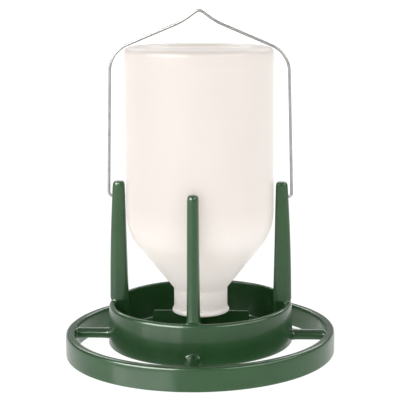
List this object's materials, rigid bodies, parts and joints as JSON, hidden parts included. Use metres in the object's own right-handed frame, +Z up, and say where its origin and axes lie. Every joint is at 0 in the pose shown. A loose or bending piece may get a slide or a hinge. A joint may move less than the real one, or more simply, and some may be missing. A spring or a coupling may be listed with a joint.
{
  "type": "poultry waterer fount",
  "caption": "Hanging gravity waterer for poultry: upturned bottle between posts in a round dish with a perch ring, and a swinging wire bail.",
  "frame": {"origin": "on the floor, under the centre of the dish", "axes": "+Z up, +X along the bail's pivot axis through the right post, -Y towards the front post"},
  "size_m": [0.2, 0.2, 0.2543],
  "materials": {
    "base_plastic": "satin moulded dark green polypropylene",
    "bottle_plastic": "smooth milky translucent polyethylene",
    "bail_wire": "bright galvanised wire"
  },
  "bodies": {
    "base": {"dish": "base_plastic", "seat_cross": "base_plastic", "perch_ring": "base_plastic", "spoke_right": "base_plastic", "spoke_back": "base_plastic", "spoke_left": "base_plastic", "spoke_front": "base_plastic", "post_right": "base_plastic", "post_back": "base_plastic", "post_left": "base_plastic", "post_front": "base_plastic"},
    "bottle": {"bottle": "bottle_plastic"},
    "bail": {"bail": "bail_wire"}
  },
  "joints": [
    {"name": "bail_swing", "type": "hinge", "parent": "base", "child": "bail", "pos_m": [0, 0, 0.1166], "axis": [1, 0, 0], "range_deg": [-135, 135]},
    {"name": "bottle_turn", "type": "hinge", "parent": "base", "child": "bottle", "pos_m": [0, 0, 0.03], "axis": [0, 0, 1], "continuous": true}
  ]
}
